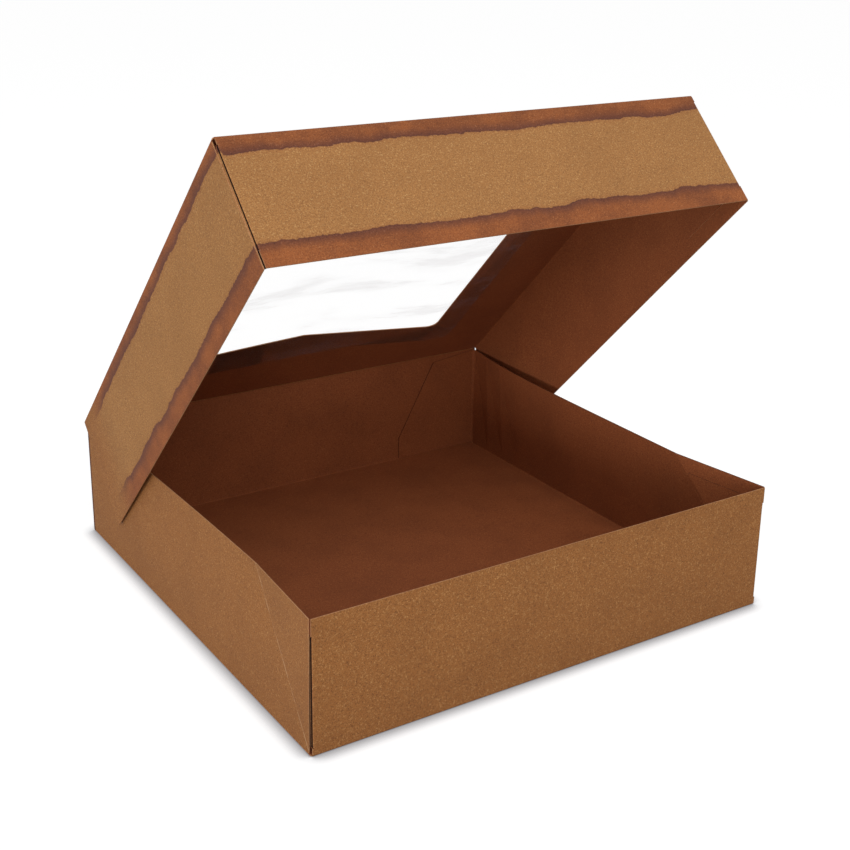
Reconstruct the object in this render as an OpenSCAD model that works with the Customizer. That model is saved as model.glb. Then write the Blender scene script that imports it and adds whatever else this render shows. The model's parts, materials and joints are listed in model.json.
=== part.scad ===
// Pie box of kraft board: a square tray and a full-depth lid folded from one sheet, with six
// glued corners, and a clear film glued behind the window in the lid. The origin is the middle
// of the tray's underside. The front wall faces -Y and the lid stands open, as the box is shown.

/* [Board] */
// Thickness of the board
board = 0.5; // [0.4:0.05:0.8]
// Outer radius of the folds round the base and the lid's top
fold_r = 1; // [0.9:0.1:2]
// Outer radius of the folds between a front wall and its glue flaps
corner_r = 1.3; // [1:0.1:2]
// Outer radius of the folds between the tray's side walls and their rear flaps
rear_r = 2.2; // [1.2:0.1:3]
// Depth by which a glued flap is pressed into the wall that it is glued to
glue_bite = 0.04; // [0.02:0.01:0.08]

/* [Tray] */
// Outer width of the tray
tray_w = 254; // [180:1:340]
// Outer depth of the tray, from front wall to back wall
tray_l = 254; // [180:1:340]
// Height of the tray's front and side walls
tray_h = 64; // [45:1:90]
// Distance from the front wall to the top end of the tray's diagonal creases
tray_crease = 56; // [40:1:70]
// Inward bow of the left wall's top edge behind its crease
bow_left = 3.9; // [0:0.1:8]
// Inward bow of the right wall's top edge behind its crease
bow_right = 8; // [0:0.1:10]
// How late the left wall's bow dies away towards the back wall
late_left = 2.2; // [1.5:0.1:6]
// How late the right wall's bow dies away towards the back wall
late_right = 5; // [1.5:0.1:6]

/* [Lid] */
// Opening angle of the lid as it stands, from closed
lid_angle = 45.2; // [0:0.1:110]
// Height of the lid's lower edges above the tray's underside when the lid is closed
lid_lift = 2.4; // [1:0.1:8]
// Distance from the front wall to the lower end of the lid's diagonal creases
lid_crease = 55; // [40:1:70]
// Inward bow of the lower edges of the lid's side walls behind their creases
lid_bow = 0.4; // [0:0.05:0.4]
// Clearance between the tray's side walls and the lid's glue flaps
side_clear = 0.4; // [0.3:0.05:2]
// Clearance between the two front walls when the lid is closed
front_clear = 1.1; // [0.6:0.1:3]
// Clearance between the tray's walls and the lid's top when the lid is closed
top_clear = 0.4; // [0.35:0.05:2]
// Gap between the back wall's top edge and the rounded rear edge of the lid's top
hinge_gap = 0.25; // [0.15:0.05:0.3]

/* [Spring of the lid's top] */
// Outward spring of the lid's top at the ridge on the window's rear edge
spring = 8.6; // [0:0.1:10]
// Distance of the ridge from the outer face of the lid's left wall
spring_ridge = 122; // [80:1:150]
// Width of the flat rim of the lid's top beside its folds
flat_rim = 3; // [2:0.5:10]

/* [Glue flaps and seams] */
// Distance from a wall's free edge to the edge of the front flap glued inside it
flap_drop = 8; // [4:0.5:14]
// Distance between a front flap and the diagonal crease
flap_inset = 1.5; // [0.5:0.1:4]
// Width of the slits cut between a front wall and both ends of a flap's fold
slit = 0.4; // [0.2:0.1:1]
// Width of the front seam at the free edge of the wall
seam_free = 1; // [0.6:0.1:1.3]
// Width of the front seam at the folded edge of the wall
seam_fold = 2.2; // [1.3:0.1:3]
// Distance from the outer face of a side wall to the plain ends of a front wall
front_trim = 0.9; // [0.4:0.1:1.2]
// Distance from the outer face of a side wall to the ends of the back wall
back_trim = 0.3; // [0.2:0.1:0.6]
// Length of a rear flap near the base
rear_flap_low = 56; // [30:1:70]
// Length of a rear flap at its upper edge
rear_flap_top = 31; // [15:1:50]
// Height at which a rear flap's end begins to slant
rear_flap_step = 14; // [8:1:25]
// Distance from the tray's rim to the upper corner of a rear flap's end
rear_flap_drop = 4; // [2:0.5:10]
// Distance from the tray's rim to the upper end of a rear flap's fold
rear_fold_drop = 0.6; // [0.5:0.1:4]

/* [Window] */
// Width of board left beside the window
window_side = 51; // [30:1:60]
// Width of board left in front of the window
window_front = 50; // [30:1:60]
// Width of board left behind the window
window_rear = 42; // [30:1:70]
// Radius of the window's corners
window_corner = 6; // [3:1:15]
// Width of the film glued round the window
film_lap = 17; // [8:1:20]
// Thickness of the film
film_t = 0.05; // [0.03:0.01:0.1]

/* [Hidden] */
$fn = 48;
kraft = "#a67648";
clear_film = [0.9, 0.93, 0.97, 0.35];
bow_steps = 12;
// Steps of the sprung top from its left rim to its ridge, and how fast it rises from the rim
rise_steps = 5;
rise_power = 0.6;
// How far a front wall and its flaps reach into their corner folds, and the step left there
fold_lap = 0.4;
fold_step = 0.05;
// Room beside the tray for the lid's flap and wall, and the lid's outer sizes from it
lid_room = side_clear + 2 * board;
lid_w = tray_w + 2 * lid_room;
axis_y = tray_l / 2 - board / 2;
axis_z = tray_h + top_clear + board / 2;
lid_l = tray_l - board / 2 + front_clear + board;
lid_h = axis_z + board / 2 - lid_lift;
back_h = axis_z - board / 2 - hinge_gap;
window_x = lid_w / 2 - window_side;
window_y = [-lid_l / 2 + window_front, lid_l / 2 - window_rear];

// Inward tilt of the front triangle of a creased wall
function tilt(bow, run) = atan(bow / run);

// Height on the diagonal crease at a distance x behind the front face
function crease_z(x, run, height) = fold_r + (height - fold_r) * x / run;

// Outer face of a front flap where its corner fold ends, inside the side wall's triangle
function flap_face(bow, run) = board - glue_bite + corner_r * tan(tilt(bow, run));

// Centre of a front flap's corner fold, inward from the side wall's outer face
function fold_centre(bow, run) = flap_face(bow, run) + fold_step + corner_r;

// Lower end of a front flap, where the crease leaves it no width
function flap_low(run, height) = crease_z(corner_r + flap_inset, run, height);

// Distance of a front flap's far corner from the front face
function flap_reach(run, height) =
    run * (height - flap_drop - fold_r) / (height - fold_r) - flap_inset;

// Section of a fold: a quarter ring whose outer side looks towards -X and -Y
module fold_section(radius) {
    intersection() {
        difference() {
            circle(radius);
            circle(radius - board);
        }
        translate([-radius, -radius]) square(radius);
    }
}

// Level fold along X, from a panel at z = 0 up into a wall at y = 0
module level_fold(length) {
    translate([0, fold_r, fold_r])
        rotate([90, 0, 90])
            linear_extrude(length) fold_section(fold_r);
}

// Flat sheet in the XZ plane, with its outer face at y = 0 and its thickness behind it
module upright() {
    translate([0, board, 0])
        rotate([90, 0, 0])
            linear_extrude(board) children();
}

// Frame of a side wall: X runs back from the front face and Y inward from the outer face
module beside(width, length, side) {
    mirror([side < 0 ? 1 : 0, 0, 0])
        translate([width / 2, -length / 2, 0])
            rotate([0, 0, 90]) children();
}

// Side wall with a diagonal crease from its folded front corner to its free edge. In front of
// the crease it is a flat triangle. Behind it the free edge bows inward by up to bow, and comes
// back to the wall's own plane at its far end.
module creased_wall(end, height, run, bow, late) {
    function inward(x) = bow * (1 - pow((x - run) / (end - run), late));
    back_x = [for (i = [1:bow_steps]) run + (end - run) * i / bow_steps];
    seam_z = crease_z(seam_fold, run, height);
    front = [
        [seam_fold, 0, fold_r],
        [seam_fold, bow * seam_fold / run, seam_z],
        [seam_free, bow * seam_free / run, height],
        [run, 0, fold_r],
        [run, bow, height]
    ];
    back = [for (x = back_x) each [[x, 0, fold_r], [x, inward(x), height]]];
    outer = concat(front, back);
    inner = [for (p = outer) p + [0, board, 0]];
    n = len(outer);
    first = 3;
    last = n - 2;
    skin = concat(
        [[0, 3, 4], [0, 4, 1], [1, 4, 2]],
        [for (i = [first:2:last - 2]) each [[i, i + 2, i + 3], [i, i + 3, i + 1]]]
    );
    rim = concat([1, 0], [for (i = [first:2:last]) i], [for (i = [last:-2:first]) i + 1], [2]);
    polyhedron(
        points = concat(outer, inner),
        faces = concat(
            [for (t = skin) [t[2], t[1], t[0]]],
            [for (t = skin) [t[0] + n, t[1] + n, t[2] + n]],
            [for (i = [0:len(rim) - 1])
                let (a = rim[i], b = rim[(i + 1) % len(rim)]) [a, b, b + n, a + n]]
        ),
        convexity = 4
    );
}

// Flap of a front wall, folded round the corner and glued inside the side wall's triangle
module front_flap(height, run, bow) {
    low = flap_low(run, height);
    top = height - flap_drop;
    start = corner_r - fold_lap;
    translate([corner_r + fold_step, fold_centre(bow, run), low + slit])
        linear_extrude(top - low - 2 * slit) fold_section(corner_r);
    translate([0, board - glue_bite, 0])
        rotate([0, 0, tilt(bow, run)])
            upright() polygon([[start, low], [flap_reach(run, height), top], [start, top]]);
}

// Front wall, narrower where its flaps fold back and plain at both ends elsewhere
module front_wall(width, length, height, run, bows) {
    low = flap_low(run, height);
    top = height - flap_drop;
    plain = width / 2 - front_trim;
    left = width / 2 - fold_centre(bows[0], run) + fold_lap;
    right = width / 2 - fold_centre(bows[1], run) + fold_lap;
    translate([0, -length / 2, 0])
        upright() polygon([
            [-plain, fold_r], [plain, fold_r], [plain, low], [right, low], [right, top],
            [plain, top], [plain, height], [-plain, height], [-plain, top], [-left, top],
            [-left, low], [-plain, low]
        ]);
}

// Folded edges along the front and both sides of a panel, with the corners left open
module panel_folds(width, length, side_end) {
    translate([-width / 2 + fold_r, -length / 2, 0]) level_fold(width - 2 * fold_r);
    for (side = [-1, 1])
        beside(width, length, side)
            translate([fold_r, 0, 0]) level_fold(side_end - fold_r);
}

// Flap of a tray side wall, folded round the rear corner and glued inside the back wall
module rear_flap() {
    top = tray_h - rear_flap_drop;
    fold_top = tray_h - rear_fold_drop;
    face = tray_l - board + glue_bite;
    translate([face - rear_r, rear_r, fold_r])
        mirror([1, 0, 0])
            linear_extrude(fold_top - fold_r) fold_section(rear_r);
    translate([face - board, 0, 0])
        rotate([90, 0, 90])
            linear_extrude(board) polygon([
                [rear_r, fold_r], [rear_flap_low, fold_r], [rear_flap_low, rear_flap_step],
                [rear_flap_top, top], [rear_r, fold_top]
            ]);
}

module tray() {
    side_end = tray_l - board + glue_bite - rear_r;
    bows = [bow_left, bow_right];
    lates = [late_left, late_right];
    color(kraft) {
        translate([-tray_w / 2 + fold_r, -tray_l / 2 + fold_r, 0])
            cube([tray_w - 2 * fold_r, tray_l - 2 * fold_r, board]);
        panel_folds(tray_w, tray_l, side_end);
        front_wall(tray_w, tray_l, tray_h, tray_crease, bows);
        for (i = [0, 1])
            beside(tray_w, tray_l, i == 0 ? -1 : 1) {
                creased_wall(side_end, tray_h, tray_crease, bows[i], lates[i]);
                front_flap(tray_h, tray_crease, bows[i]);
                rear_flap();
            }
        mirror([0, 1, 0])
            translate([-tray_w / 2 + back_trim, -tray_l / 2, 0])
                level_fold(tray_w - 2 * back_trim);
        translate([-tray_w / 2 + back_trim, tray_l / 2 - board, fold_r])
            cube([tray_w - 2 * back_trim, board, back_h - fold_r]);
    }
}

// Frame of the lid in its own place: X and Y as the tray's, and Z down from the lid's top face.
// The hinge axis runs along X at the far end of the top panel, half the board below its face.
module on_hinge() {
    translate([0, axis_y, axis_z])
        rotate([-lid_angle, 0, 0])
            translate([0, -lid_l / 2, board / 2])
                mirror([0, 0, 1]) children();
}

// Sheet as wide and deep as the lid's top between its folds. It is flat along the rim and
// springs outward by up to spring at a ridge, which meets the window's rear edge.
module sprung_sheet(thickness) {
    ridge = spring_ridge - lid_w / 2;
    left = -lid_w / 2 + flat_rim;
    xs = concat(
        [-lid_w / 2 + fold_r],
        [for (i = [0:rise_steps]) left + (ridge - left) * i / rise_steps],
        [window_x, lid_w / 2 - fold_r]
    );
    ys = [
        -lid_l / 2 + fold_r, -lid_l / 2 + flat_rim, window_y[1], lid_l / 2 - flat_rim, lid_l / 2
    ];
    rise = concat([0], [for (i = [0:rise_steps]) spring * pow(i / rise_steps, rise_power)], [0, 0]);
    share = [0, 0, 1, 0, 0];
    columns = len(xs);
    rows = len(ys);
    n = columns * rows;
    outer = [for (j = [0:rows - 1]) for (i = [0:columns - 1]) [xs[i], ys[j], -rise[i] * share[j]]];
    inner = [for (p = outer) p + [0, 0, thickness]];
    skin = [
        for (j = [0:rows - 2]) for (i = [0:columns - 2])
            let (a = j * columns + i, b = a + columns)
                each [[a, a + 1, b + 1], [a, b + 1, b]]
    ];
    edge = concat(
        [for (i = [0:columns - 2]) i],
        [for (j = [0:rows - 2]) j * columns + columns - 1],
        [for (i = [columns - 1:-1:1]) n - columns + i],
        [for (j = [rows - 1:-1:1]) j * columns]
    );
    polyhedron(
        points = concat(outer, inner),
        faces = concat(
            skin,
            [for (t = skin) [t[2] + n, t[1] + n, t[0] + n]],
            [for (i = [0:len(edge) - 1])
                let (a = edge[i], b = edge[(i + 1) % len(edge)]) [b, a, a + n, b + n]]
        ),
        convexity = 4
    );
}

// Outline of the window with rounded corners, grown by margin on every side
module window_outline(margin) {
    x = window_x + margin;
    front = window_y[0] - margin;
    rear = window_y[1] + margin;
    r = window_corner;
    for (cx = [-x + r, x - r], cy = [front + r, rear - r])
        translate([cx, cy]) circle(r);
    translate([-x + r, front]) square([2 * (x - r), rear - front]);
    translate([-x, front + r]) square([2 * x, rear - front - 2 * r]);
}

// Prism through the sprung top, clear of both its faces
module through_top() {
    translate([0, 0, -spring - board])
        linear_extrude(spring + 3 * board) children();
}

module lid() {
    color(kraft)
        on_hinge() {
            difference() {
                union() {
                    sprung_sheet(board);
                    translate([-lid_w / 2 + fold_r, lid_l / 2, board / 2])
                        rotate([0, 90, 0]) cylinder(h = lid_w - 2 * fold_r, d = board);
                }
                through_top() window_outline(0);
            }
            panel_folds(lid_w, lid_l, lid_l);
            front_wall(lid_w, lid_l, lid_h, lid_crease, [lid_bow, lid_bow]);
            for (side = [-1, 1])
                beside(lid_w, lid_l, side) {
                    creased_wall(lid_l, lid_h, lid_crease, lid_bow, late_left);
                    front_flap(lid_h, lid_crease, lid_bow);
                }
        }
}

module window_film() {
    color(clear_film)
        on_hinge()
            intersection() {
                translate([0, 0, board]) sprung_sheet(film_t);
                through_top() window_outline(film_lap);
            }
}

tray();
lid();
window_film();
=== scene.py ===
"""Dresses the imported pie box: board, print, window film and hinge crease, in a white studio."""

import json
import logging
import math
from dataclasses import dataclass, field
from enum import Enum
from typing import Callable
import bmesh
import bpy
from mathutils import Euler, Matrix, Vector


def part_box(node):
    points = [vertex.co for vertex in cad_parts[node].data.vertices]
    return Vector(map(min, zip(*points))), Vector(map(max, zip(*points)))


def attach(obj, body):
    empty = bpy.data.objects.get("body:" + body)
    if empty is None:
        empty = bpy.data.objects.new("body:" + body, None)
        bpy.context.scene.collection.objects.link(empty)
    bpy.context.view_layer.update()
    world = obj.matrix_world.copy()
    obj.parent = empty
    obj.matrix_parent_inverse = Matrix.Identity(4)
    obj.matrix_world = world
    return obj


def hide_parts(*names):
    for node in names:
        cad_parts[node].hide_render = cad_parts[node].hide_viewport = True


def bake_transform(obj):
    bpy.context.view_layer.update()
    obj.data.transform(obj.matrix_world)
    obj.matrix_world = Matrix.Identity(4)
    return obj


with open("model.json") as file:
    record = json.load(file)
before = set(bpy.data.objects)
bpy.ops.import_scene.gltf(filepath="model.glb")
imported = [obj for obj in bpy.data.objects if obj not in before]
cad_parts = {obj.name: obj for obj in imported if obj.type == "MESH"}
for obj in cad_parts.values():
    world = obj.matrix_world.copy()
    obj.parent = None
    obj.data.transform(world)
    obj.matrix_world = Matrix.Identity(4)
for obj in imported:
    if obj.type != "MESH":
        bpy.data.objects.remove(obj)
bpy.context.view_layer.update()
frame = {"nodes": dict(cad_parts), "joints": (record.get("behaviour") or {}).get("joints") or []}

MM = 0.001
BOARD = 0.5 * MM
MERGE = 0.002 * MM
FLAT_DEG = 0.05
log = logging.getLogger("pie_box")
logging.basicConfig(level=logging.INFO, format="%(name)s: %(message)s")

Colour = tuple[float, float, float]


def srgb(red: int, green: int, blue: int) -> Colour:
    """Turns a colour as it is seen on a screen, 0 to 255, into the linear values of a shader.

    Args:
        red: Red as seen.
        green: Green as seen.
        blue: Blue as seen.

    Returns:
        The three linear values.
    """
    shares = [value / 255 for value in (red, green, blue)]
    return tuple(s / 12.92 if s <= 0.04045 else ((s + 0.055) / 1.055) ** 2.4 for s in shares)


class Face(Enum):
    """Which side of the folded sheet a face belongs to; the value is its material slot."""

    OUTSIDE = 0
    INSIDE = 1
    CUT_EDGE = 2
    # The last two slots are painted shade: dark board on cut edges and seam faces where shade
    # falls.
    SHADE_EDGE = 3
    SEAM = 4


@dataclass(frozen=True)
class BoardFinish:
    """Colours and texture of one side of the board."""

    name: str
    pulp: Colour
    dark: Colour
    light: Colour
    speckle: float
    mottle: float
    bump: float
    gloss: float = 0.35


@dataclass(frozen=True)
class PrintFinish:
    """The printed outside of the lid: a torn-edged parchment band between two brown bands."""

    parchment: Colour
    band: Colour
    band_dark: Colour
    rim: Colour
    upper: float
    upper_side: float
    lower: float
    fade_near: float
    fade_far: float


@dataclass(frozen=True)
class TrayMarks:
    """Places and colours of the marks of wear and cutting on the outside of the tray, and of the
    painted shade at its rear seams.
    """

    half_width: float
    half_length: float
    crease_run: float = 56 * MM
    height: float = 64 * MM
    cut_pitch: float = 3.0 * MM
    cut_top: float = 1.4 * MM
    # Reach of the painted shade before the rear seams.
    seam_shade_reach: float = 2.6 * MM
    worn: Colour = srgb(198, 158, 118)
    cut: Colour = srgb(200, 130, 78)
    # Colour of the painted shade at the rear seams.
    seam: Colour = srgb(52, 22, 16)


@dataclass(frozen=True)
class FilmFinish:
    """The clear film of the window."""

    tint: Colour
    streak: Colour
    alpha: float
    roughness: float


OUTER_KRAFT = BoardFinish(
    "kraft_outside", srgb(166, 108, 56), srgb(104, 60, 28), srgb(202, 150, 92), 0.85, 0.25, 0.25
)
INNER_KRAFT = BoardFinish(
    "kraft_inside", srgb(150, 82, 44), srgb(98, 48, 24), srgb(176, 106, 62), 0.75, 0.4, 0.2, 0.28
)
CUT_BOARD = BoardFinish(
    "cut_board", srgb(192, 138, 94), srgb(144, 94, 56), srgb(216, 172, 128), 0.6, 0.3, 0.3
)
# Painted shade: a dark board for cut edges in shade and a near-black board for faces deep in the
# seams.
SHADE_EDGE_BOARD = BoardFinish(
    "cut_board_shade", srgb(92, 50, 28), srgb(56, 28, 16), srgb(120, 70, 42), 0.6, 0.3, 0.3, 0.2
)
SEAM_SHADE_BOARD = BoardFinish(
    "seam_shadow", srgb(34, 17, 11), srgb(18, 9, 6), srgb(60, 32, 20), 0.5, 0.3, 0.2, 0.1
)
LID_PRINT = PrintFinish(
    parchment=srgb(178, 124, 70),
    band=srgb(164, 94, 48),
    band_dark=srgb(120, 64, 34),
    rim=srgb(88, 48, 40),
    upper=9.2 * MM,
    upper_side=7.0 * MM,
    lower=51.5 * MM,
    fade_near=8 * MM,
    fade_far=44 * MM,
)
CLEAR_FILM = FilmFinish(srgb(250, 250, 252), srgb(232, 206, 224), 0.02, 0.12)


class Graph:
    """Short calls that add and join the nodes of one shader tree."""

    def __init__(self, tree: bpy.types.NodeTree) -> None:
        """Keeps the tree that the calls add to."""
        self.tree = tree

    def put(self, socket: bpy.types.NodeSocket, value: object) -> None:
        """Sets a socket to a constant, or joins another socket to it.

        Args:
            socket: The input to fill.
            value: A number, a colour, a vector or an output socket.
        """
        if isinstance(value, bpy.types.NodeSocket):
            self.tree.links.new(value, socket)
        elif socket.type == "RGBA":
            socket.default_value = (*value, 1.0)
        else:
            socket.default_value = value

    def node(self, kind: str, inputs: dict | None = None, **settings: object) -> bpy.types.Node:
        """Adds a node.

        Args:
            kind: The node's type name without the leading ShaderNode.
            inputs: Values or sockets by input name or number.
            **settings: Properties of the node.

        Returns:
            The new node.
        """
        made = self.tree.nodes.new("ShaderNode" + kind)
        for name, value in settings.items():
            setattr(made, name, value)
        for key, value in (inputs or {}).items():
            self.put(made.inputs[key], value)
        return made

    def math(self, operation: str, a: object, b: object = 0.0) -> bpy.types.NodeSocket:
        """Adds a Math node on two values and returns its result."""
        return self.node("Math", {0: a, 1: b}, operation=operation).outputs[0]

    def fade(
        self, value: object, low: float, high: float, at_low: float = 0, at_high: float = 1
    ) -> bpy.types.NodeSocket:
        """Maps a value smoothly from one range to another and keeps it inside.

        Args:
            value: The value to map.
            low: The value that gives at_low.
            high: The value that gives at_high.
            at_low: Result at and before low.
            at_high: Result at and after high.

        Returns:
            The mapped value's socket.
        """
        inputs = {0: value, 1: low, 2: high, 3: at_low, 4: at_high}
        return self.node("MapRange", inputs, interpolation_type="SMOOTHSTEP").outputs[0]

    def mix(
        self, share: object, a: object, b: object, blend: str = "MIX"
    ) -> bpy.types.NodeSocket:
        """Adds a colour mix of a and b and returns its result."""
        made = self.node("Mix", data_type="RGBA", blend_type=blend, clamp_factor=True)
        for index, value in ((0, share), (6, a), (7, b)):
            self.put(made.inputs[index], value)
        return made.outputs[2]

    def noise(
        self, vector: object, scale: float, detail: float = 2, rough: float = 0.5
    ) -> bpy.types.NodeSocket:
        """Adds a noise of features about 1/scale metres wide and returns its value."""
        inputs = {"Vector": vector, "Scale": scale, "Detail": detail, "Roughness": rough}
        return self.node("TexNoise", inputs).outputs[0]

    def place(self, vector: object, **settings: tuple) -> bpy.types.NodeSocket:
        """Turns, scales or moves a vector with a Mapping node and returns the result."""
        return self.node("Mapping", {"Vector": vector, **settings}).outputs[0]

    def parts(self, vector: object) -> tuple:
        """Splits a vector and returns its three values."""
        made = self.node("SeparateXYZ", {0: vector})
        return tuple(made.outputs)

    def group(self, tree: bpy.types.NodeTree, inputs: dict) -> bpy.types.Node:
        """Places a shared node group and fills its inputs.

        Args:
            tree: The shared group.
            inputs: Values or sockets by input name.

        Returns:
            The group's node.
        """
        made = self.tree.nodes.new("ShaderNodeGroup")
        made.node_tree = tree
        for key, value in inputs.items():
            self.put(made.inputs[key], value)
        return made


def shared_group(
    name: str, inputs: dict[str, str], outputs: dict[str, str], build: Callable
) -> bpy.types.NodeTree:
    """Makes a node group with named inputs and outputs.

    Args:
        name: Name of the group.
        inputs: Socket kind by input name: Vector, Color or Float.
        outputs: Socket kind by output name.
        build: Function that takes the graph and the input sockets, and returns the outputs.

    Returns:
        The node group.
    """
    tree = bpy.data.node_groups.new(name, "ShaderNodeTree")
    for direction, sockets in (("INPUT", inputs), ("OUTPUT", outputs)):
        for label, kind in sockets.items():
            tree.interface.new_socket(label, in_out=direction, socket_type="NodeSocket" + kind)
    graph = Graph(tree)
    given = tree.nodes.new("NodeGroupInput")
    made = tree.nodes.new("NodeGroupOutput")
    results = build(graph, {label: given.outputs[label] for label in inputs})
    for label in outputs:
        tree.links.new(results[label], made.inputs[label])
    return tree


def build_fibre(graph: Graph, given: dict) -> dict:
    """Builds the board's pulp: fine grain, short fibres, flecks and soft clouds.

    Args:
        graph: The group's graph.
        given: The group's input sockets.

    Returns:
        The output sockets by name.
    """
    vector = given["Vector"]
    grain = graph.noise(vector, 2100, 3, 0.7)
    speck = graph.noise(graph.place(vector, Location=(3.1, 1.7, 0.4)), 1350, 3, 0.7)
    cloud = graph.noise(vector, 38, 4, 0.55)
    strand = graph.noise(graph.place(vector, Scale=(0.2, 0.2, 1.0)), 2200, 2, 0.5)
    fleck = graph.noise(graph.place(vector, Location=(0.9, 5.2, 2.2)), 620, 2, 0.5)
    dark_grain = graph.fade(grain, 0.54, 0.34)
    light_grain = graph.fade(speck, 0.52, 0.7)
    strands = graph.fade(strand, 0.57, 0.7, 0, 0.5)
    flecks = graph.fade(fleck, 0.66, 0.72, 0, 0.7)
    shade = graph.math("MAXIMUM", dark_grain, graph.math("MAXIMUM", strands, flecks))
    shade = graph.math("MULTIPLY", shade, given["Speckle"])
    colour = graph.mix(shade, given["Pulp"], given["Dark"])
    lift = graph.math("MULTIPLY", light_grain, given["Speckle"])
    colour = graph.mix(lift, colour, given["Light"])
    veil = graph.math("MULTIPLY", graph.fade(cloud, 0.62, 0.34), given["Mottle"])
    colour = graph.mix(graph.math("MULTIPLY", veil, 0.5), colour, given["Dark"])
    height = graph.math("MULTIPLY", graph.math("ADD", grain, speck), 0.5)
    rough = graph.math("ADD", 0.66, graph.math("MULTIPLY", grain, 0.25))
    return {"Color": colour, "Roughness": rough, "Height": height}


def build_torn(graph: Graph, given: dict) -> dict:
    """Builds the lid's print: where a point lies in or beside the torn-edged field.

    Args:
        graph: The group's graph.
        given: The group's input sockets.

    Returns:
        The field's mask, its dark rim, the shade of the band beside it and its own soft rim.
    """

    def ragged(start: float) -> bpy.types.NodeSocket:
        """Returns the offset of a torn edge along the wall, from noises of three sizes."""
        line = graph.node("CombineXYZ", {0: given["Along"], 1: start}).outputs[0]
        steps = ((34, 5.0), (150, 2.6), (620, 1.2))
        total = 0.0
        for scale, width in steps:
            wave = graph.math("SUBTRACT", graph.noise(line, scale, 1, 0.5), 0.5)
            total = graph.math("ADD", total, graph.math("MULTIPLY", wave, width * MM))
        return total

    above = graph.math("SUBTRACT", given["Down"], graph.math("ADD", given["Upper"], ragged(0.31)))
    below = graph.math("SUBTRACT", graph.math("ADD", given["Lower"], ragged(1.73)), given["Down"])
    inside = graph.math("MINIMUM", above, below)
    mask = graph.fade(inside, -0.1 * MM, 0.12 * MM)
    line = graph.math(
        "MULTIPLY",
        graph.fade(inside, -0.9 * MM, -0.15 * MM),
        graph.fade(inside, 0.5 * MM, 0.05 * MM),
    )
    broken = graph.fade(graph.noise(given["Vector"], 420, 2, 0.6), 0.3, 0.6, 0.35, 1)
    burn = graph.fade(inside, -5.5 * MM, 0.0)
    glow = graph.fade(inside, 2.6 * MM, 0.0)
    return {
        "Field": mask,
        "Rim": graph.math("MULTIPLY", line, broken),
        "Burn": graph.math("MULTIPLY", burn, graph.math("SUBTRACT", 1.0, mask)),
        "Soft": graph.math("MULTIPLY", glow, mask),
    }


def build_crease(graph: Graph, given: dict) -> dict:
    """Builds the wear along a diagonal crease: a thin light line, rubbed away in places.

    Args:
        graph: The group's graph.
        given: The group's input sockets.

    Returns:
        The line's mask.
    """
    rise = graph.math("MULTIPLY", given["Behind"], given["Slope"])
    off = graph.math("ABSOLUTE", graph.math("SUBTRACT", given["Up"], rise))
    line = graph.fade(off, 0.55 * MM, 0.15 * MM)
    wave = graph.noise(given["Vector"], 130, 3, 0.7)
    return {"Line": graph.math("MULTIPLY", line, graph.fade(wave, 0.38, 0.62, 0.12, 1))}


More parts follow.
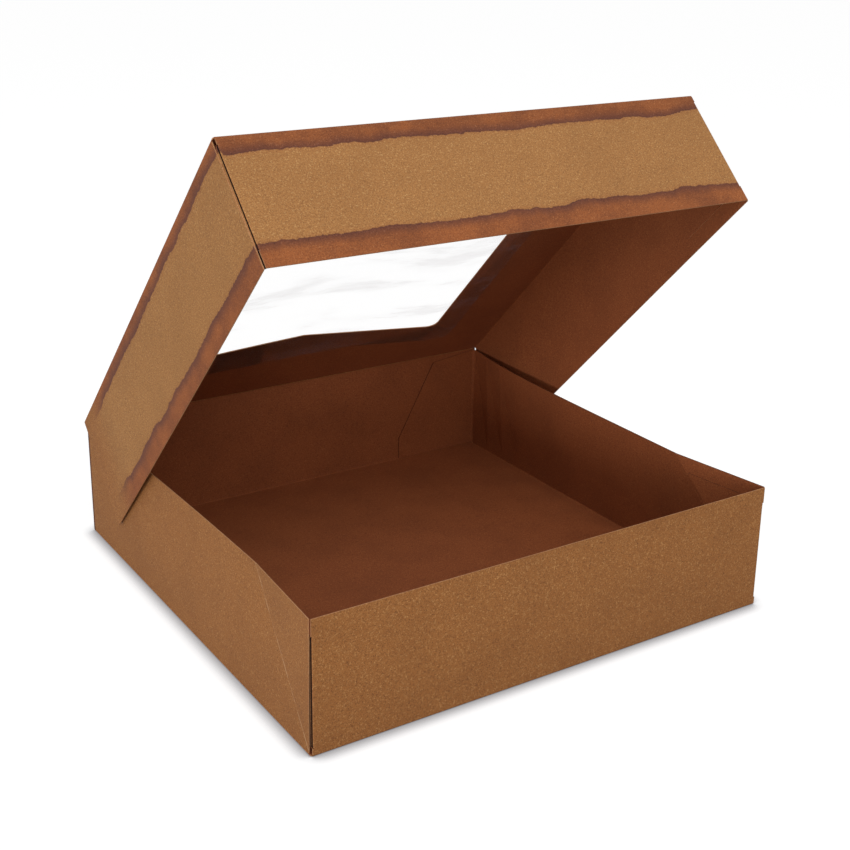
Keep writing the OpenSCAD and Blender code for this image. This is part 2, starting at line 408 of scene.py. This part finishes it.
@dataclass
class Finishes:
    """The shared node groups and the materials made from them."""

    fibre: bpy.types.NodeTree = field(init=False)
    torn: bpy.types.NodeTree = field(init=False)
    crease: bpy.types.NodeTree = field(init=False)

    def __post_init__(self) -> None:
        """Builds the shared groups once."""
        self.fibre = shared_group(
            "board_fibre",
            {
                "Vector": "Vector",
                "Pulp": "Color",
                "Dark": "Color",
                "Light": "Color",
                "Speckle": "Float",
                "Mottle": "Float",
            },
            {"Color": "Color", "Roughness": "Float", "Height": "Float"},
            build_fibre,
        )
        self.torn = shared_group(
            "torn_print",
            {
                "Vector": "Vector",
                "Along": "Float",
                "Down": "Float",
                "Upper": "Float",
                "Lower": "Float",
            },
            {"Field": "Float", "Rim": "Float", "Burn": "Float", "Soft": "Float"},
            build_torn,
        )
        self.crease = shared_group(
            "crease_wear",
            {"Vector": "Vector", "Behind": "Float", "Up": "Float", "Slope": "Float"},
            {"Line": "Float"},
            build_crease,
        )

    def start(self, name: str) -> tuple[bpy.types.Material, Graph, object]:
        """Makes an empty material.

        Args:
            name: Name of the material.

        Returns:
            The material, its graph and its Object coordinates.
        """
        material = bpy.data.materials.new(name)
        material.use_nodes = True
        material.node_tree.nodes.clear()
        graph = Graph(material.node_tree)
        return material, graph, graph.node("TexCoord").outputs["Object"]

    def pulp(self, graph: Graph, vector: object, finish: BoardFinish) -> bpy.types.Node:
        """Places the fibre group with one finish's values."""
        return graph.group(
            self.fibre,
            {
                "Vector": vector,
                "Pulp": finish.pulp,
                "Dark": finish.dark,
                "Light": finish.light,
                "Speckle": finish.speckle,
                "Mottle": finish.mottle,
            },
        )

    def close(
        self, graph: Graph, pulp: bpy.types.Node, colour: object, finish: BoardFinish
    ) -> None:
        """Joins colour, roughness and bump to the material's shader.

        Args:
            graph: The material's graph.
            pulp: The placed fibre group.
            colour: The surface's colour.
            finish: Gives the strength of the bump and the gloss.
        """
        bump = graph.node(
            "Bump",
            {"Strength": finish.bump, "Distance": 0.3 * MM, "Height": pulp.outputs["Height"]},
        )
        shader = graph.node(
            "BsdfPrincipled",
            {
                "Base Color": colour,
                "Roughness": pulp.outputs["Roughness"],
                "Normal": bump.outputs[0],
                "Specular IOR Level": finish.gloss,
            },
        )
        output = graph.node("OutputMaterial")
        graph.tree.links.new(shader.outputs[0], output.inputs[0])

    def plain(self, finish: BoardFinish) -> bpy.types.Material:
        """Makes the material of one unprinted side of the board."""
        material, graph, vector = self.start(finish.name)
        pulp = self.pulp(graph, vector, finish)
        self.close(graph, pulp, pulp.outputs["Color"], finish)
        return material

    def tray_outside(self, finish: BoardFinish, marks: TrayMarks) -> bpy.types.Material:
        """Makes the tray's outside: kraft with worn creases and cut folds, painted shade at the
        rear seams and walls painted darker towards the bottom.

        Args:
            finish: The board's finish.
            marks: Where the marks lie.

        Returns:
            The material.
        """
        material, graph, vector = self.start(finish.name)
        pulp = self.pulp(graph, vector, finish)
        x, y, z = graph.parts(vector)
        behind = graph.math("ADD", y, marks.half_length)
        beside = graph.math("SUBTRACT", marks.half_width, graph.math("ABSOLUTE", x))
        inputs = {
            "Vector": vector,
            "Behind": behind,
            "Up": z,
            "Slope": marks.height / marks.crease_run,
        }
        line = graph.group(self.crease, inputs).outputs["Line"]
        line = graph.math("MULTIPLY", line, graph.fade(behind, 1.0 * MM, 2.5 * MM, 0, 0.9))
        # Painted shade: the outside walls darken towards the bottom.
        low = graph.fade(z, 46 * MM, 0.0, 0, 0.16)
        colour = graph.mix(low, pulp.outputs["Color"], finish.dark)
        colour = graph.mix(line, colour, marks.worn)
        wave = graph.math("SINE", graph.math("MULTIPLY", y, 2 * math.pi / marks.cut_pitch))
        cuts = graph.math(
            "MULTIPLY",
            graph.fade(z, marks.cut_top, marks.cut_top - 0.4 * MM),
            graph.fade(beside, 1.2 * MM, 0.9 * MM),
        )
        cuts = graph.math("MULTIPLY", cuts, graph.fade(wave, 0.0, 0.5, 0.0, 0.6))
        colour = graph.mix(cuts, colour, marks.cut)
        # Painted shade: the side walls turn near black over the last few millimetres before the
        # rear seams.
        gap = graph.math("SUBTRACT", marks.half_length, y)
        seam = graph.math(
            "MULTIPLY",
            graph.fade(gap, marks.seam_shade_reach + 0.7 * MM, marks.seam_shade_reach - 0.5 * MM, 0, 0.92),
            graph.fade(beside, 0.9 * MM, 0.6 * MM),
        )
        self.close(graph, pulp, graph.mix(seam, colour, marks.seam), finish)
        return material

    def printed(
        self,
        finish: PrintFinish,
        board: BoardFinish,
        hinge: Vector,
        angle: float,
        half_width: float,
    ) -> bpy.types.Material:
        """Makes the lid's printed outside.

        Args:
            finish: The print.
            board: The board that the print lies on.
            hinge: A point on the hinge axis.
            angle: Opening angle of the lid at rest.
            half_width: Half the lid's outer width.

        Returns:
            The material.
        """
        material, graph, vector = self.start("lid_print")
        turn = Euler((angle, 0, 0))
        shift = -(turn.to_matrix() @ hinge)
        flat = graph.place(vector, Rotation=tuple(turn), Location=tuple(shift))
        x, y, z = graph.parts(flat)
        pulp = self.pulp(graph, vector, board)
        down = graph.math("MULTIPLY", z, -1.0)
        wide = graph.math("ABSOLUTE", x)
        upper = graph.fade(
            wide, half_width - 1.8 * MM, half_width - 1.0 * MM, finish.upper, finish.upper_side
        )
        torn = graph.group(
            self.torn,
            {
                "Vector": vector,
                "Along": graph.math("ADD", x, y),
                "Down": down,
                "Upper": upper,
                "Lower": finish.lower,
            },
        ).outputs
        cloud = graph.noise(vector, 55, 4, 0.6)
        band = graph.mix(graph.fade(cloud, 0.66, 0.36, 0, 0.6), finish.band, finish.band_dark)
        band = graph.mix(graph.math("MULTIPLY", torn["Burn"], 0.7), band, finish.rim)
        field_colour = graph.mix(
            graph.math("MULTIPLY", torn["Soft"], 0.22), finish.parchment, finish.band
        )
        ink = graph.mix(torn["Field"], band, field_colour)
        ink = graph.mix(graph.math("MULTIPLY", torn["Rim"], 0.4), ink, finish.rim)
        grain = graph.mix(1.0, pulp.outputs["Color"], board.pulp, "DIVIDE")
        surface = graph.mix(0.85, ink, graph.mix(1.0, ink, grain, "MULTIPLY"))
        near = graph.fade(graph.math("MULTIPLY", y, -1.0), finish.fade_far, finish.fade_near)
        surface = graph.mix(near, surface, pulp.outputs["Color"])
        self.close(graph, pulp, surface, board)
        return material

    def clear(self, finish: FilmFinish) -> bpy.types.Material:
        """Makes the window film: nearly invisible, with faint long streaks."""
        material, graph, vector = self.start("window_film")
        long = graph.place(vector, Rotation=(0.0, 0.0, 0.12), Scale=(0.25, 1.0, 1.0))
        streak = graph.fade(graph.noise(long, 60, 3, 0.6), 0.5, 0.72)
        colour = graph.mix(streak, finish.tint, finish.streak)
        alpha = graph.math("ADD", finish.alpha, graph.math("MULTIPLY", streak, 0.07))
        shader = graph.node(
            "BsdfPrincipled",
            {"Base Color": colour, "Roughness": finish.roughness, "Alpha": alpha, "IOR": 1.5},
        )
        output = graph.node("OutputMaterial")
        graph.tree.links.new(shader.outputs[0], output.inputs[0])
        return material


class Zone(Enum):
    """Stretch of a folded sheet that is shaded on its own."""

    PANEL = "panel"
    FOLD = "fold"
    WALL = "wall"


STEEPEST_SMOOTH = {Zone.PANEL: 16.0, Zone.FOLD: 16.0, Zone.WALL: 3.5}


@dataclass
class FoldedSheet:
    """A pan folded from board: one panel with walls. Its own frame has Z from the panel's face."""

    piece_name: str
    node: str
    body: str
    slot: str
    to_pan: Matrix
    half_width: float
    half_length: float
    board: float = BOARD
    fold: float = 1.0 * MM
    corner: float = 2.8 * MM
    side_zone: float = 8.5 * MM
    end_zone: float = 3 * MM
    slack: float = 0.05 * MM

    def rim_of(self, centre: Vector) -> Face:
        """Says how the cut edge at a place of the sheet looks."""
        return Face.CUT_EDGE

    def end_of(self, centre: Vector) -> Face:
        """Says how the cut end of a wall or flap at a place of the sheet looks."""
        return Face.CUT_EDGE

    def in_corner(self, centre: Vector, normal: Vector) -> bool:
        """Says whether a face is a facet of one of the upright corner folds.

        Args:
            centre: Middle of the face in the pan's frame.
            normal: The face's normal in the pan's frame.

        Returns:
            Whether the face belongs to a corner fold.
        """
        beside = self.half_width - abs(centre.x)
        along = self.half_length - abs(centre.y)
        turned = min(abs(normal.x), abs(normal.y)) > 0.03 and abs(normal.z) < 0.1
        return turned and centre.z > self.fold and max(beside, along) < self.corner

    def zone_of(self, centre: Vector, normal: Vector) -> Zone:
        """Says which stretch of the sheet a face lies in.

        Args:
            centre: Middle of the face in the pan's frame.
            normal: The face's normal in the pan's frame.

        Returns:
            The stretch.
        """
        if self.in_corner(centre, normal):
            return Zone.FOLD
        if centre.z > self.fold:
            return Zone.WALL
        rim = min(self.half_width - abs(centre.x), self.half_length - abs(centre.y))
        return Zone.FOLD if rim < self.fold else Zone.PANEL

    def side_of(self, centre: Vector, normal: Vector) -> Face:
        """Says which side of the sheet a face is on.

        Args:
            centre: Middle of the face in the pan's frame.
            normal: The face's normal in the pan's frame.

        Returns:
            The side of the sheet.
        """
        beside = self.half_width - abs(centre.x)
        along = self.half_length - abs(centre.y)
        outward = math.copysign(normal.x, normal.x * centre.x)
        # Painted shade: outward facets of the corner folds that lie deep in the seams get the
        # near-black seam board.
        if self.in_corner(centre, normal) and outward > 0:
            in_seam_shade = outward > 0.6 if centre.y < 0 else normal.y > 0.5
            return Face.SEAM if in_seam_shade else Face.OUTSIDE
        if abs(normal.z) > 0.7 and centre.z > self.fold + self.slack:
            return self.rim_of(centre)
        window = centre.z < self.board + self.slack and abs(normal.z) < 0.3
        if window and beside > self.side_zone and along > self.end_zone:
            return Face.CUT_EDGE
        if abs(normal.x) > 0.7 and (beside > self.side_zone or along < self.board):
            return self.end_of(centre)
        if abs(normal.y) > 0.9 and beside < self.board + self.slack < along:
            return Face.CUT_EDGE
        out = Vector(
            (
                math.copysign(beside < self.side_zone, centre.x),
                math.copysign(along < self.end_zone, centre.y),
                -float(centre.z < self.fold),
            )
        )
        return Face.OUTSIDE if normal.dot(out) > 0 else Face.INSIDE

    def add_webs(self, bm: bmesh.types.BMesh) -> None:
        """Adds the small forms that only this sheet has."""

    def soften(self, bm: bmesh.types.BMesh) -> None:
        """Shades the sheet smoothly and keeps its creases, folds and cut edges sharp.

        Args:
            bm: The sheet, with a side set on each face.
        """
        turn = self.to_pan.to_3x3()
        zones = {
            face: self.zone_of(self.to_pan @ face.calc_center_median(), turn @ face.normal)
            for face in bm.faces
        }
        for face in bm.faces:
            face.smooth = True
        for edge in bm.edges:
            faces = edge.link_faces
            joined = len(faces) == 2 and faces[0].material_index == faces[1].material_index
            joined = joined and zones[faces[0]] is zones[faces[1]]
            if joined:
                steepest = math.radians(STEEPEST_SMOOTH[zones[faces[0]]])
                joined = edge.calc_face_angle() < steepest
            edge.smooth = joined

    def build(self, materials: dict[Face, bpy.types.Material]) -> bpy.types.Object:
        """Copies the CAD node, merges its triangles and gives each side its material.

        Args:
            materials: Material by side of the sheet.

        Returns:
            The finished piece.
        """
        mesh = bpy.data.meshes.new(self.piece_name)
        bm = bmesh.new()
        bm.from_mesh(frame["nodes"][self.node].data)
        bmesh.ops.remove_doubles(bm, verts=bm.verts, dist=MERGE)
        bmesh.ops.dissolve_limit(
            bm, angle_limit=math.radians(FLAT_DEG), verts=bm.verts, edges=bm.edges
        )
        turn = self.to_pan.to_3x3()
        for face in bm.faces:
            centre = self.to_pan @ face.calc_center_median()
            face.material_index = self.side_of(centre, turn @ face.normal).value
        self.soften(bm)
        self.add_webs(bm)
        bmesh.ops.triangulate(bm, faces=bm.faces)
        bm.to_mesh(mesh)
        bm.free()
        for side in Face:
            mesh.materials.append(materials[side])
        piece = bpy.data.objects.new(self.piece_name, mesh)
        bpy.context.scene.collection.objects.link(piece)
        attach(piece, self.body)
        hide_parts(self.node)
        log.info("%s: %d faces", self.piece_name, len(mesh.polygons))
        return piece


@dataclass
class TraySheet(FoldedSheet):
    """The tray, with its right rim and flap edges in painted shade, and webs in its rear base
    corners.
    """

    height: float = 64 * MM
    web_depth: float = 1.7 * MM

    def rim_of(self, centre: Vector) -> Face:
        """Gives the right rim and the flaps' edges painted shade, and the other rims a light cut.
        """
        # Painted shade: flap edges below the rim and the whole right rim get the dark edge board.
        low = centre.z < self.height - 2 * MM
        right = centre.x > self.half_width - self.side_zone - self.board
        return Face.SHADE_EDGE if low or right else Face.CUT_EDGE

    def end_of(self, centre: Vector) -> Face:
        """Gives the rear flaps' ends and the back wall's ends painted shade."""
        return Face.CUT_EDGE if centre.y < 0 else Face.SEAM

    def add_webs(self, bm: bmesh.types.BMesh) -> None:
        """Closes both rear corners of the base, where the folds of three walls meet.

        Args:
            bm: The tray's sheet.
        """
        for side in (-1, 1):
            size = Vector((self.fold - 0.02 * MM, self.web_depth, self.fold - 0.02 * MM))
            middle = Vector(
                (
                    side * (self.half_width - 0.02 * MM - size.x / 2),
                    self.half_length - self.fold - size.y / 2,
                    0.02 * MM + size.z / 2,
                )
            )
            matrix = Matrix.Translation(middle) @ Matrix.Diagonal((*size, 1.0))
            made = bmesh.ops.create_cube(bm, size=1.0, matrix=matrix)["verts"]
            lower = [
                edge
                for edge in {edge for vert in made for edge in vert.link_edges}
                if all(v.co.z < middle.z and (v.co.x - middle.x) * side > 0 for v in edge.verts)
            ]
            bmesh.ops.bevel(
                bm,
                geom=lower,
                offset=0.8 * self.fold,
                segments=4,
                profile=0.5,
                affect="EDGES",
                material=-1,
            )


@dataclass
class LidSheet(FoldedSheet):
    """The lid, opened about the fold along the tray's back wall."""

    # Size of the painted-shade posts in the front seams.
    shade_post_top: float = 54.3 * MM
    shade_post_end: float = 62.2 * MM
    shade_post_width: float = 0.8 * MM

    def add_webs(self, bm: bmesh.types.BMesh) -> None:
        """Backs both front seams with a post of painted shade, from the glue flap to the free
        edge.

        Args:
            bm: The lid's sheet.
        """
        back = self.to_pan.inverted()
        for side in (-1, 1):
            size = Vector((self.shade_post_width, self.shade_post_width, self.shade_post_end - self.shade_post_top))
            inset = self.board + 0.05 * MM + self.shade_post_width / 2
            middle = Vector(
                (
                    side * (self.half_width - inset),
                    inset - self.half_length,
                    (self.shade_post_top + self.shade_post_end) / 2,
                )
            )
            matrix = back @ Matrix.Translation(middle) @ Matrix.Diagonal((*size, 1.0))
            made = bmesh.ops.create_cube(bm, size=1.0, matrix=matrix)["verts"]
            # Painted shade: the posts get the near-black seam board.
            faces = list({face for vert in made for face in vert.link_faces})
            for face in faces:
                face.material_index = Face.SEAM.value
            bmesh.ops.recalc_face_normals(bm, faces=faces)

    @staticmethod
    def pan_matrix(hinge: Vector, opening: float, length: float, board: float) -> Matrix:
        """Works out the turn from the model's frame to the lid's own.

        Args:
            hinge: A point on the hinge axis.
            opening: Opening angle of the lid at rest.
            length: The lid's outer length.
            board: Thickness of the board.

        Returns:
            The matrix into the lid's frame, whose Z runs from the top's face down the walls.
        """
        return (
            Matrix.Scale(-1, 4, (0, 0, 1))
            @ Matrix.Translation((0, length / 2, -board / 2))
            @ Matrix.Rotation(opening, 4, "X")
            @ Matrix.Translation(-hinge)
        )


@dataclass
class WindowFilm:
    """The clear film glued round the window."""

    node: str = "window_film"

    def dress(self, material: bpy.types.Material) -> None:
        """Gives the CAD film its clear finish."""
        film = frame["nodes"][self.node]
        film.data.materials.clear()
        film.data.materials.append(material)
        log.info("window film dressed")


@dataclass
class HingeCrease:
    """The scored fold that joins the back wall to the lid's top panel."""

    axis: Vector
    angle: float
    half_width: float
    radius: float = 0.25 * MM
    thickness: float = 0.12 * MM
    lower_reach: float = 2.6 * MM
    upper_reach: float = 1.6 * MM
    steps: int = 6

    def build(self, material: bpy.types.Material) -> bpy.types.Object:
        """Builds the strip of board along the fold, bent round the hinge axis.

        Args:
            material: The strip's finish.

        Returns:
            The finished piece, blended between tray and lid.
        """
        bend = math.pi / 2 - self.angle
        along = Vector((0, -math.sin(bend), math.cos(bend)))
        bm = bmesh.new()
        foot = [
            bm.verts.new(self.axis + Vector((-self.half_width, self.radius, -self.lower_reach))),
            bm.verts.new(self.axis + Vector((-self.half_width, self.radius, 0.0))),
        ]
        bm.edges.new(foot)
        made = bmesh.ops.spin(
            bm,
            geom=[foot[-1]],
            cent=self.axis,
            axis=(1, 0, 0),
            angle=bend,
            steps=self.steps,
            use_merge=False,
        )["geom_last"]
        tip = next(item for item in made if isinstance(item, bmesh.types.BMVert))
        end = bm.verts.new(tip.co + along * self.upper_reach)
        bm.edges.new((tip, end))
        grown = bmesh.ops.extrude_edge_only(bm, edges=bm.edges[:])["geom"]
        moved = [item for item in grown if isinstance(item, bmesh.types.BMVert)]
        bmesh.ops.translate(bm, verts=moved, vec=(2 * self.half_width, 0, 0))
        bmesh.ops.remove_doubles(bm, verts=bm.verts, dist=0.005 * MM)
        bmesh.ops.recalc_face_normals(bm, faces=bm.faces)
        bmesh.ops.solidify(bm, geom=bm.faces[:], thickness=self.thickness)
        bmesh.ops.recalc_face_normals(bm, faces=bm.faces)
        mesh = bpy.data.meshes.new("hinge_crease")
        bm.to_mesh(mesh)
        bm.free()
        mesh.materials.append(material)
        piece = bpy.data.objects.new("hinge_crease", mesh)
        bpy.context.scene.collection.objects.link(piece)
        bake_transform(piece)
        log.info("hinge crease: %d faces", len(mesh.polygons))
        return piece


@dataclass(frozen=True)
class Lamp:
    """A soft lamp aimed at the box."""

    name: str
    place: tuple[float, float, float]
    width: float
    height: float
    power: float


@dataclass
class Studio:
    """White floor and surround, soft lamps and the camera. Angles are in degrees."""

    camera_at: tuple[float, float, float] = (-0.35972, -0.56969, 0.34188)
    yaw: float = 33.1965
    pitch: float = 18.7044
    roll: float = 0.9266
    lens: float = 59.662
    shift: tuple[float, float] = (-0.00916, -0.07398)
    surround: float = 0.44
    bounce: float = 0.3
    glow: float = 0.85
    # Reach of the floor's painted contact shadow.
    contact_shadow_reach: float = 9 * MM
    key: Lamp = Lamp("key", (-0.40, -1.50, 1.56), 1.2, 1.2, 18.5)
    fill: Lamp = Lamp("fill", (-1.81, -0.84, 0.20), 1.4, 0.3, 14.5)
    aim: tuple[float, float, float] = (0.0, 0.0, 0.08)

    def build(self) -> None:
        """Builds everything round the object."""
        self.floor()
        self.world()
        self.lamps()
        self.camera()
        log.info("studio ready")

    def floor(self) -> None:
        """Makes the floor, white to the camera and grey to the light that it throws back, with a
        painted contact shadow.
        """
        bm = bmesh.new()
        bmesh.ops.create_circle(bm, cap_ends=True, segments=64, radius=6.0)
        mesh = bpy.data.meshes.new("floor")
        bm.to_mesh(mesh)
        bm.free()
        floor = bpy.data.objects.new("floor", mesh)
        floor.location.z = -0.05 * MM
        bpy.context.scene.collection.objects.link(floor)
        material = bpy.data.materials.new("floor_white")
        material.use_nodes = True
        graph = Graph(material.node_tree)
        graph.tree.nodes.clear()
        path = graph.node("LightPath").outputs
        seen = graph.math("MAXIMUM", path["Is Camera Ray"], path["Is Glossy Ray"])
        seen = graph.math("MAXIMUM", seen, path["Is Transmission Ray"])
        grey = (self.bounce,) * 3
        shade = graph.node("BsdfDiffuse", {"Color": grey})
        # Painted contact shadow: ambient occlusion near the box dims the floor's glow and tints it
        # bluish grey.
        near = graph.node("AmbientOcclusion", {"Distance": self.contact_shadow_reach}, samples=16)
        unshadowed_share = near.outputs["AO"]
        tint = graph.mix(unshadowed_share, srgb(150, 152, 166), (1.0, 1.0, 1.0))
        strength = graph.fade(unshadowed_share, 0.4, 1.0, 0.35 * self.glow, self.glow)
        glow = graph.node("Emission", {"Color": tint, "Strength": strength})
        bounce = graph.node("BsdfDiffuse", {"Color": grey})
        lit = graph.node("AddShader", {0: shade.outputs[0], 1: glow.outputs[0]})
        both = graph.node("MixShader", {0: seen, 1: bounce.outputs[0], 2: lit.outputs[0]})
        output = graph.node("OutputMaterial")
        graph.tree.links.new(both.outputs[0], output.inputs[0])
        mesh.materials.append(material)

    def world(self) -> None:
        """Makes the surround: white to the camera, softer as a light."""
        world = bpy.data.worlds.new("studio")
        bpy.context.scene.world = world
        world.use_nodes = True
        graph = Graph(world.node_tree)
        graph.tree.nodes.clear()
        path = graph.node("LightPath").outputs
        seen = graph.math("MAXIMUM", path["Is Camera Ray"], path["Is Glossy Ray"])
        seen = graph.math("MAXIMUM", seen, path["Is Transmission Ray"])
        strength = graph.fade(seen, 0.0, 1.0, self.surround, 1.0)
        background = graph.node("Background", {"Color": (1.0, 1.0, 1.0), "Strength": strength})
        output = graph.node("OutputWorld")
        graph.tree.links.new(background.outputs[0], output.inputs[0])

    def lamps(self) -> None:
        """Hangs two soft lamps: a key in front and above, and a low fill on the left."""
        for lamp in (self.key, self.fill):
            data = bpy.data.lights.new(lamp.name, "AREA")
            data.shape = "RECTANGLE"
            data.size = lamp.width
            data.size_y = lamp.height
            data.energy = lamp.power
            made = bpy.data.objects.new(lamp.name, data)
            made.location = lamp.place
            aim = Vector(self.aim) - Vector(lamp.place)
            made.rotation_euler = aim.to_track_quat("-Z", "Y").to_euler()
            bpy.context.scene.collection.objects.link(made)

    def camera(self) -> None:
        """Puts the camera where the photograph was taken from."""
        yaw, pitch, roll = (math.radians(v) for v in (self.yaw, self.pitch, self.roll))
        forward = Vector(
            (math.sin(yaw) * math.cos(pitch), math.cos(yaw) * math.cos(pitch), -math.sin(pitch))
        )
        level = Vector((math.cos(yaw), -math.sin(yaw), 0))
        upright = level.cross(forward)
        right = math.cos(roll) * level + math.sin(roll) * upright
        up = -math.sin(roll) * level + math.cos(roll) * upright
        data = bpy.data.cameras.new("camera")
        data.sensor_width = 36
        data.lens = self.lens
        data.shift_x, data.shift_y = self.shift
        data.clip_start = 0.01
        camera = bpy.data.objects.new("camera", data)
        turn = Matrix((right, up, -forward)).transposed().to_4x4()
        camera.matrix_world = Matrix.Translation(self.camera_at) @ turn
        bpy.context.scene.collection.objects.link(camera)
        bpy.context.scene.camera = camera


def main() -> None:
    """Builds and dresses the box, then the studio round it."""
    scene = bpy.context.scene
    scene.view_settings.view_transform = "Standard"
    hinge_joint = frame["joints"][0]
    hinge = Vector(hinge_joint["pos_m"])
    opening = math.radians(-hinge_joint["range_deg"][0])
    finishes = Finishes()
    edges = {
        Face.INSIDE: finishes.plain(INNER_KRAFT),
        Face.CUT_EDGE: finishes.plain(CUT_BOARD),
        Face.SHADE_EDGE: finishes.plain(SHADE_EDGE_BOARD),
        Face.SEAM: finishes.plain(SEAM_SHADE_BOARD),
    }
    high = Vector(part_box("tray")[1])
    tray_outside = finishes.tray_outside(OUTER_KRAFT, TrayMarks(high.x, high.y))
    TraySheet(
        "tray_board", "tray", "tray_body", "kraft_tray", Matrix.Identity(4), high.x, high.y
    ).build({Face.OUTSIDE: tray_outside, **edges})
    half_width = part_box("lid")[1][0]
    lid_mesh = frame["nodes"]["lid"].data
    unturn = Matrix.Rotation(opening, 4, "X") @ Matrix.Translation(-hinge)
    length = -min((unturn @ vert.co).y for vert in lid_mesh.vertices)
    to_pan = LidSheet.pan_matrix(hinge, opening, length, BOARD)
    outside = finishes.printed(LID_PRINT, OUTER_KRAFT, hinge, opening, half_width)
    LidSheet(
        "lid_board", "lid", "lid_body", "kraft_lid", to_pan, half_width, length / 2
    ).build({Face.OUTSIDE: outside, **edges})
    WindowFilm().dress(finishes.clear(CLEAR_FILM))
    HingeCrease(hinge, opening, high.x + 0.8 * MM).build(tray_outside)
    Studio().build()


if __name__ == "__main__":
    main()
